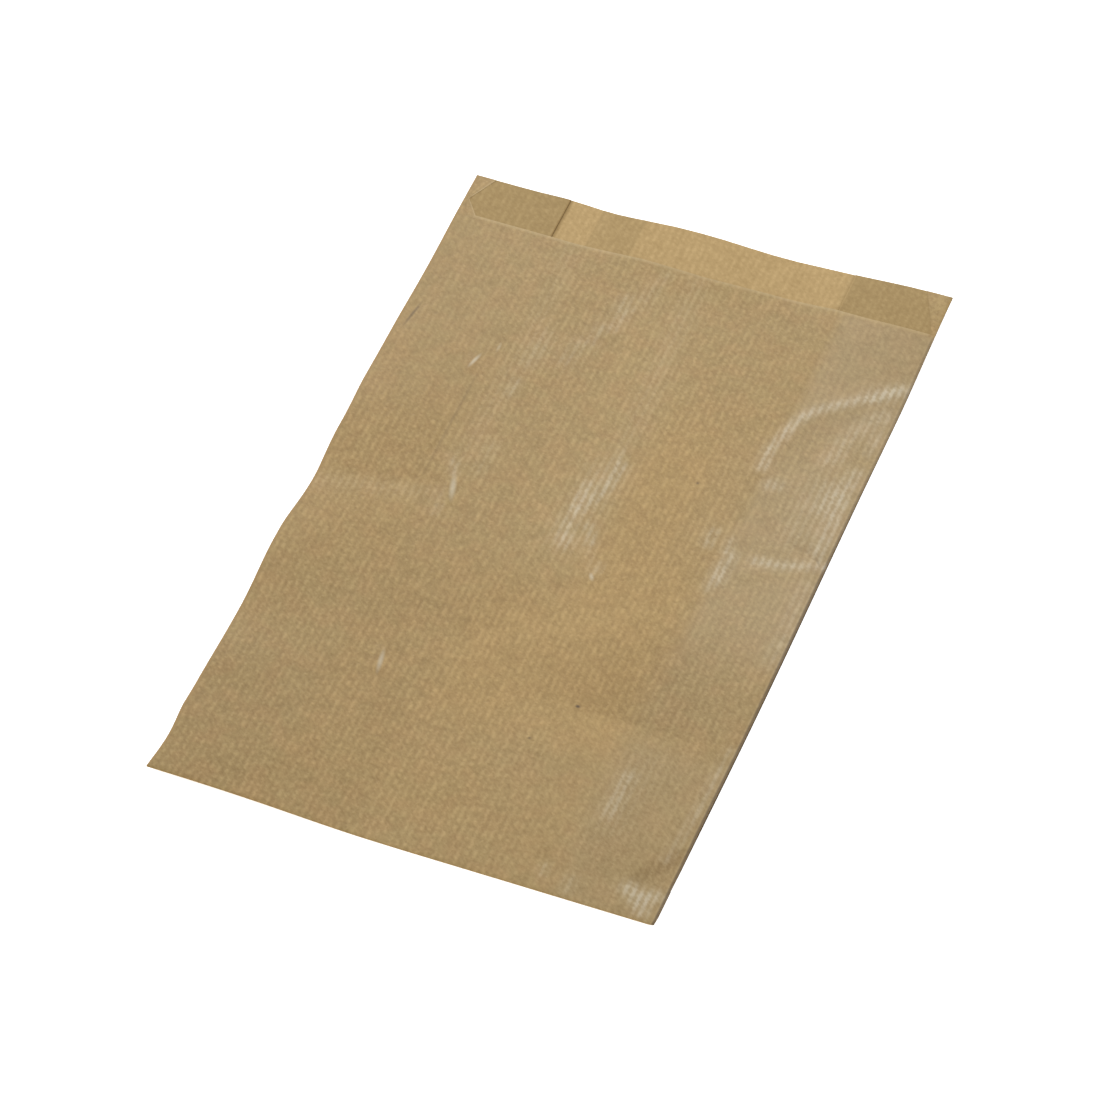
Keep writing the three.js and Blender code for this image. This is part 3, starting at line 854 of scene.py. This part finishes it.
def kraft(name, colour, warmColour, roughness, coat, texture=1.0, singleColour=None):
    finish = Finish(name)
    across = finish.mark("across")
    spot = finish.scaled(finish.node("TexCoord", None, 3), 1 / mm)

    # ribs wander a little and break up into beads
    wander = finish.noise(finish.vector("MULTIPLY", spot, (*paper["wanderScale"], 1.0)), 1.0, detail=1.0)
    turns = (across + wander * paper["ribWander"]) * (2 * math.pi / paper["ribPitch"])
    rib = turns.maths("COSINE") * 0.5 + 0.5
    beads = finish.noise(finish.vector("MULTIPLY", spot, (*paper["beadScale"], 1.0)), 1.0, roughness=0.6)
    ribs = rib * finish.steps(beads, *paper["beadSteps"])
    slanted = finish.turned(spot, -paper["fibreTurn"])
    fibres = finish.noise(finish.vector("MULTIPLY", slanted, (*paper["fibreScale"], 1.0)), 1.0)
    mottle = finish.noise(spot, paper["mottleScale"], detail=3.0, roughness=0.55)
    cloud = finish.noise(spot, paper["cloudScale"])
    hue = finish.steps(finish.noise(spot, paper["hueScale"], roughness=0.55), *paper["hueSteps"])

    # colour and tone
    base = finish.blend(hue, colour, warmColour)
    # painted light shining through where the paper lies one layer thick
    if singleColour:
        base = finish.blend(finish.mark("single"), base, singleColour)
    base = finish.blend(finish.mark("warm"), base, paper["warm"])
    # painted greyer hue of sheen
    base = finish.blend(finish.mark("paintedSheenTint"), base, paper["paintedSheenTint"])
    tone = (ribs - paper["ribMean"]) * (1 - finish.mark("calm")) * paper["ribTone"]
    tone = (tone + (fibres - 0.5) * paper["fibreTone"] * 2) * texture
    tone = tone + (mottle - 0.5) * paper["mottleTone"] * 2 + (cloud - 0.5) * paper["cloudTone"]
    # painted shade and painted light
    tone = tone - finish.mark("shade") * paper["shadeTone"]
    tint = finish.vector("ADD", finish.scaled(paper["toneTint"], tone), (1.0, 1.0, 1.0))
    base = finish.vector("MULTIPLY", base, tint)
    # painted sheen veil
    base = finish.blend(finish.mark("paintedSheenVeil"), base, paper["paintedSheenVeil"])

    # painted sheen, pale on the beads' crests, where the glaze is also glossier
    dash = finish.steps(rib * paper["dashOfRib"] + fibres * paper["dashOfFibre"], *paper["dashSteps"])
    dash = dash * (1 - paper["dashLeast"]) + paper["dashLeast"]
    patchy = finish.steps(mottle, *paper["patchSteps"]) * (1 - paper["patchLeast"]) + paper["patchLeast"]
    rub = (finish.mark("rub") * dash * patchy).clipped()
    base = finish.blend(rub * paper["paintedSheenShare"], base, paper["rub"])
    if coat:
        # dark specks, and painted shade along creases
        base = finish.blend(finish.flecks(spot, specksAndPaintedCreaseShade), base, paper["slot"])
        # painted glints
        base = finish.blend(finish.flecks(spot, paintedGlints), base, paper["rub"])
    # pale cut edges, and a painted highlight inside the right fold
    base = finish.blend(finish.mark("rim") * paper["cutEdgeAndPaintedHighlightShare"], base, paper["rim"])
    # painted shade on folds
    base = finish.blend(finish.mark("fold") * paper["paintedFoldShadeShare"], base, paper["fold"])
    speck = finish.node("TexVoronoi", None, 0, Vector=spot, Scale=paper["speckScale"])
    speck = speck.maths("LESS_THAN", paper["speckSize"])
    base = finish.blend(speck * paper["speckShare"], base, paper["speck"])
    # painted shadow in folds and along the right edge
    base = finish.blend(finish.mark("slot"), base, paper["slot"])
    finish.give("Base Color", base)
    unevenness = (fibres - 0.5) * paper["fibreRoughness"]
    finish.give("Roughness", unevenness - rub * paper["rubSmoothness"] + roughness)
    finish.give("Coat Weight", rub * (coat * paper["rubCoat"]) + coat)
    finish.give("Coat Roughness", paper["coatRoughness"])
    finish.give("Specular IOR Level", paper["specular"])
    bumps = ribs * paper["ribHeight"] + fibres * paper["fibreHeight"] + mottle * paper["mottleHeight"]
    finish.give("Normal", finish.node("Bump", None, 0, Height=bumps, Strength=1.0, Distance=mm))
    return finish.material


bagMesh.materials.append(kraft("kraftGlazed", paper["glazed"], paper["glazedWarm"],
                               paper["glazeRoughness"], paper["glazeCoat"]))
bagMesh.materials.append(kraft("kraftInner", paper["inner"], paper["inner"],
                               paper["innerRoughness"], 0.0, paper["innerTexture"], paper["innerPaintedShineThrough"]))
bagMesh.materials.append(kraft("kraftEdge", paper["edge"], paper["edge"], paper["edgeRoughness"], 0.0))
print("paper finished")

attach(paperBag, "root")
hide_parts("paper_bag")

# Floor, light and camera
studio = {
    "floorSize": 6.0,
    "floorDrop": 0.0001,
    "floorTone": 0.9,
    "floorRoughness": 0.9,
    "floorSpecular": 0.1,
    "floorGlow": 0.75,
    "world": 0.86,
    "keyPower": 27.0,
    "keySize": 1.4,
    "keyAzimuth": -30.0,
    "keyElevation": 28.0,
    "keyDistance": 2.2,
}
view = {
    "azimuth": 21.155,
    "elevation": 48.258,
    "distance": 2.33,
    "target": (-0.00103, -0.00926, 0.0),
    "sensorWidth": 36.0,
    "clipEnd": 50.0,
    "focalPixels": 6816.0,
    "framePixels": 1100.0,
}


def direction(azimuth, elevation):
    a, e = math.radians(azimuth), math.radians(elevation)
    return Vector((math.sin(a) * math.cos(e), math.cos(a) * math.cos(e), math.sin(e)))


def aim(thing, towards):
    thing.rotation_mode = "QUATERNION"
    thing.rotation_quaternion = towards.to_track_quat("-Z", "Y")


def makeFloor():
    size = studio["floorSize"]
    mesh = bpy.data.meshes.new("floor")
    corners = [(-size, -size, 0), (size, -size, 0), (size, size, 0), (-size, size, 0)]
    mesh.from_pydata(corners, [], [(0, 1, 2, 3)])
    floor = bpy.data.objects.new("floor", mesh)
    finish = Finish("paleFloor")
    finish.give("Base Color", (studio["floorTone"],) * 3)
    finish.give("Roughness", studio["floorRoughness"])
    finish.give("Specular IOR Level", studio["floorSpecular"])
    finish.give("Emission Color", (1.0, 1.0, 1.0))
    finish.give("Emission Strength", studio["floorGlow"])
    mesh.materials.append(finish.material)
    bpy.context.scene.collection.objects.link(floor)
    floor.location.z = -studio["floorDrop"]


def makeLight():
    key = bpy.data.lights.new("key", "AREA")
    key.shape = "SQUARE"
    key.size = studio["keySize"]
    key.energy = studio["keyPower"]
    lamp = bpy.data.objects.new("key", key)
    towards = direction(studio["keyAzimuth"], studio["keyElevation"])
    lamp.location = towards * studio["keyDistance"]
    aim(lamp, -towards)
    bpy.context.scene.collection.objects.link(lamp)
    world = bpy.data.worlds.new("studio")
    world.use_nodes = True
    world.node_tree.nodes["Background"].inputs[0].default_value = (1, 1, 1, 1)
    world.node_tree.nodes["Background"].inputs[1].default_value = studio["world"]
    bpy.context.scene.world = world


def makeCamera():
    lens = bpy.data.cameras.new("camera")
    lens.sensor_width = view["sensorWidth"]
    lens.lens = view["sensorWidth"] * view["focalPixels"] / view["framePixels"]
    lens.clip_end = view["clipEnd"]
    camera = bpy.data.objects.new("camera", lens)
    backwards = direction(180 - view["azimuth"], view["elevation"])
    camera.location = Vector(view["target"]) + backwards * view["distance"]
    aim(camera, -backwards)
    bpy.context.scene.collection.objects.link(camera)
    bpy.context.scene.camera = camera


makeFloor()
makeLight()
makeCamera()
bpy.context.scene.view_settings.view_transform = "Standard"
print("studio set")
